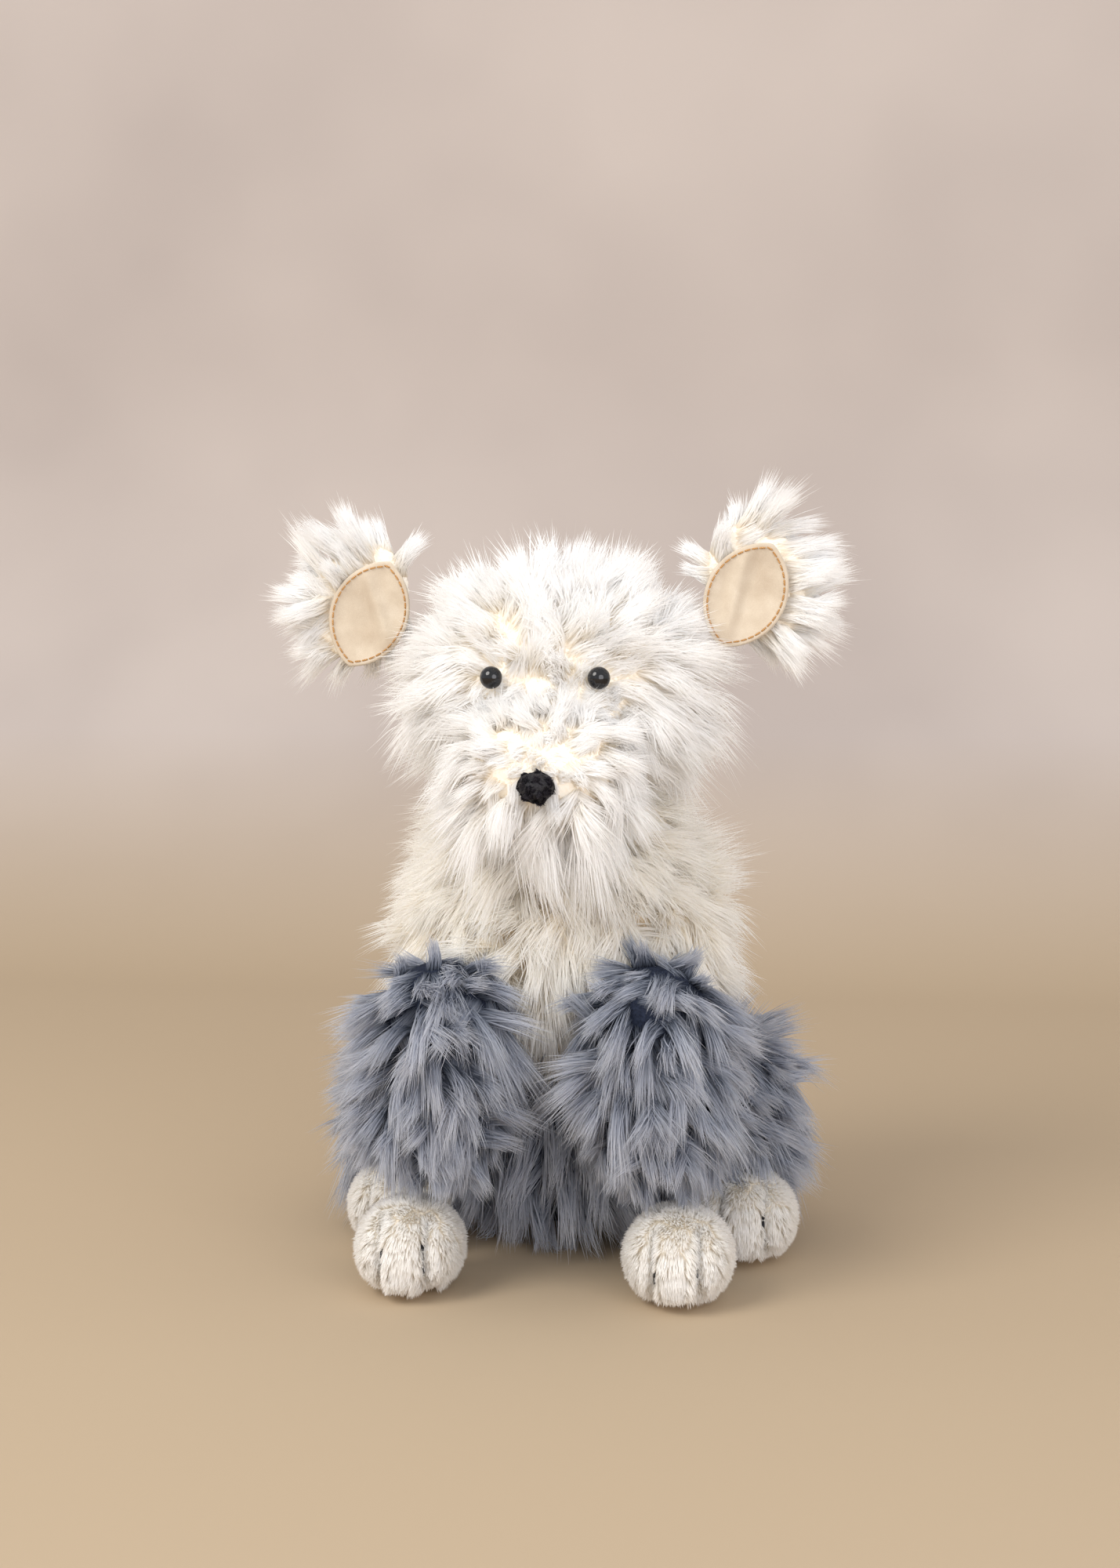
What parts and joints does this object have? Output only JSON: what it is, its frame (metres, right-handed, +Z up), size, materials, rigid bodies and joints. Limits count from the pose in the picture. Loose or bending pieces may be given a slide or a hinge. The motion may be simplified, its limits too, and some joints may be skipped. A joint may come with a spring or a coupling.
{
  "type": "plush dog",
  "caption": "Sitting soft-toy sheepdog with long pile, a white front and grey back, a turning and nodding head, folding lined ears, and swinging legs with stitched paws.",
  "frame": {"origin": "the middle of the seat's flat underside, which rests on the surface that the dog sits on", "axes": "+Z up; the dog faces -Y; +X towards the dog's own left side"},
  "size_m": [0.2405, 0.2005, 0.3233],
  "materials": {
    "long_white_pile": "long pile",
    "grey_pile": "long pile",
    "short_white_pile": "short pile",
    "suedette": "brushed",
    "tan_thread": "thread",
    "black_thread": "thread",
    "polyester_fibre": "loose fibre",
    "lining_cloth": "plain weave",
    "bean_pellets": "pellets",
    "washer_plastic": "moulded",
    "eye_plastic": "polished",
    "nose_plastic": "satin"
  },
  "bodies": {
    "torso": {"lower_body_cover": "grey_pile", "upper_body_cover": "long_white_pile", "body_stuffing": "polyester_fibre", "bean_bag_cover": "lining_cloth", "bean_pellets": "bean_pellets"},
    "neck": {"neck_cover": "long_white_pile", "neck_stuffing": "polyester_fibre"},
    "head": {"head_cover": "long_white_pile", "head_stuffing": "polyester_fibre", "muzzle_cover": "long_white_pile", "eye_left": "eye_plastic", "eye_right": "eye_plastic", "eye_washer_left": "washer_plastic", "eye_washer_right": "washer_plastic", "nose": "nose_plastic", "nose_washer": "washer_plastic"},
    "ear_left": {"ear_back_left": "long_white_pile", "ear_lining_left": "suedette", "ear_stitching_left": "tan_thread"},
    "ear_right": {"ear_back_right": "long_white_pile", "ear_lining_right": "suedette", "ear_stitching_right": "tan_thread"},
    "front_leg_left": {"front_leg_cover_left": "grey_pile", "front_leg_stuffing_left": "polyester_fibre", "front_paw_cover_left": "short_white_pile", "front_paw_beans_left": "bean_pellets", "front_toe_threads_left": "black_thread"},
    "front_leg_right": {"front_leg_cover_right": "grey_pile", "front_leg_stuffing_right": "polyester_fibre", "front_paw_cover_right": "short_white_pile", "front_paw_beans_right": "bean_pellets", "front_toe_threads_right": "black_thread"},
    "hind_leg_left": {"thigh_cover_left": "grey_pile", "thigh_stuffing_left": "polyester_fibre", "hind_paw_cover_left": "short_white_pile", "hind_paw_beans_left": "bean_pellets", "hind_toe_threads_left": "black_thread"},
    "hind_leg_right": {"thigh_cover_right": "grey_pile", "thigh_stuffing_right": "polyester_fibre", "hind_paw_cover_right": "short_white_pile", "hind_paw_beans_right": "bean_pellets", "hind_toe_threads_right": "black_thread"}
  },
  "joints": [
    {"name": "head_turn", "type": "hinge", "parent": "torso", "child": "neck", "pos_m": [0, -0.036, 0.168], "axis": [0, 0, 1], "range_deg": [-25, 25], "stiffness_Nm_per_rad": 1.2},
    {"name": "head_nod", "type": "hinge", "parent": "neck", "child": "head", "pos_m": [0, -0.036, 0.16], "axis": [1, 0, 0], "range_deg": [-12, 15], "stiffness_Nm_per_rad": 1.6},
    {"name": "ear_fold_left", "type": "hinge", "parent": "head", "child": "ear_left", "pos_m": [0.06017, -0.04, 0.27399], "axis": [0.4695, 0, -0.8829], "range_deg": [-20, 35], "stiffness_Nm_per_rad": 0.02},
    {"name": "ear_fold_right", "type": "hinge", "parent": "head", "child": "ear_right", "pos_m": [-0.06383, -0.04, 0.26779], "axis": [0.3746, 0, 0.9272], "range_deg": [-20, 35], "stiffness_Nm_per_rad": 0.02},
    {"name": "front_leg_swing_left", "type": "hinge", "parent": "torso", "child": "front_leg_left", "pos_m": [0.04247, -0.09, 0.10995], "axis": [-1, 0, 0], "range_deg": [0, 80], "stiffness_Nm_per_rad": 0.12},
    {"name": "front_leg_swing_right", "type": "hinge", "parent": "torso", "child": "front_leg_right", "pos_m": [-0.04247, -0.09, 0.10995], "axis": [-1, 0, 0], "range_deg": [0, 80], "stiffness_Nm_per_rad": 0.12},
    {"name": "hind_leg_lift_left", "type": "hinge", "parent": "torso", "child": "hind_leg_left", "pos_m": [0.067, -0.002, 0.052], "axis": [-1, 0, 0], "range_deg": [0, 12], "stiffness_Nm_per_rad": 0.2},
    {"name": "hind_leg_lift_right", "type": "hinge", "parent": "torso", "child": "hind_leg_right", "pos_m": [-0.067, -0.002, 0.052], "axis": [-1, 0, 0], "range_deg": [0, 12], "stiffness_Nm_per_rad": 0.2}
  ]
}
